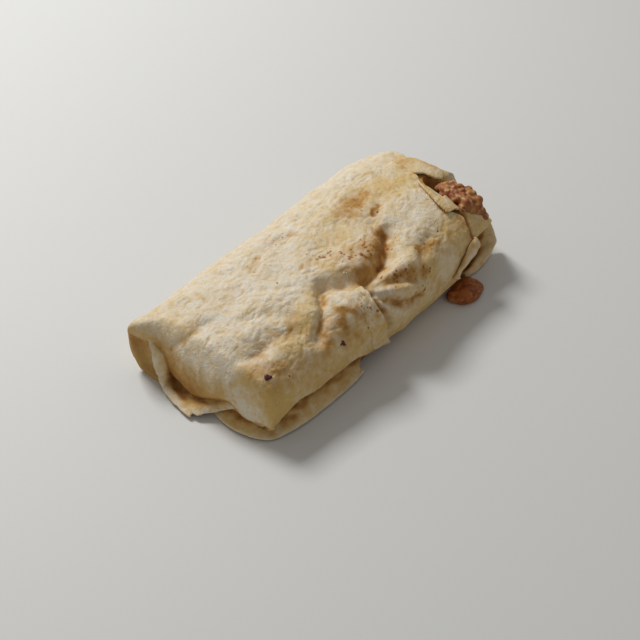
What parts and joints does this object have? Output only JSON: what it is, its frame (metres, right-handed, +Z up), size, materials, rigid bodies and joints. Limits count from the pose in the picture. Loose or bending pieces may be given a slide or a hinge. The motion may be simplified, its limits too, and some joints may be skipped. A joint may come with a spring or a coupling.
{
  "type": "burrito",
  "caption": "Whole rolled burrito in a wheat tortilla, folded shut at one end and open at the other, where bean filling swells out; it lies on a flat underside.",
  "frame": {"origin": "on the flat underside, under the middle of the roll", "axes": "+X along the roll from its folded near end to its open far end, +Y towards its back, +Z up"},
  "size_m": [0.1897, 0.0994, 0.0431],
  "materials": {
    "tortilla": "soft, dry toasted flour tortilla, cream with browned patches",
    "filling": "moist lumpy refried beans",
    "spilled_filling": "moist refried bean paste"
  },
  "bodies": {
    "root": {"tortilla": "tortilla", "filling": "filling", "spilled_filling": "spilled_filling"}
  },
  "joints": []
}
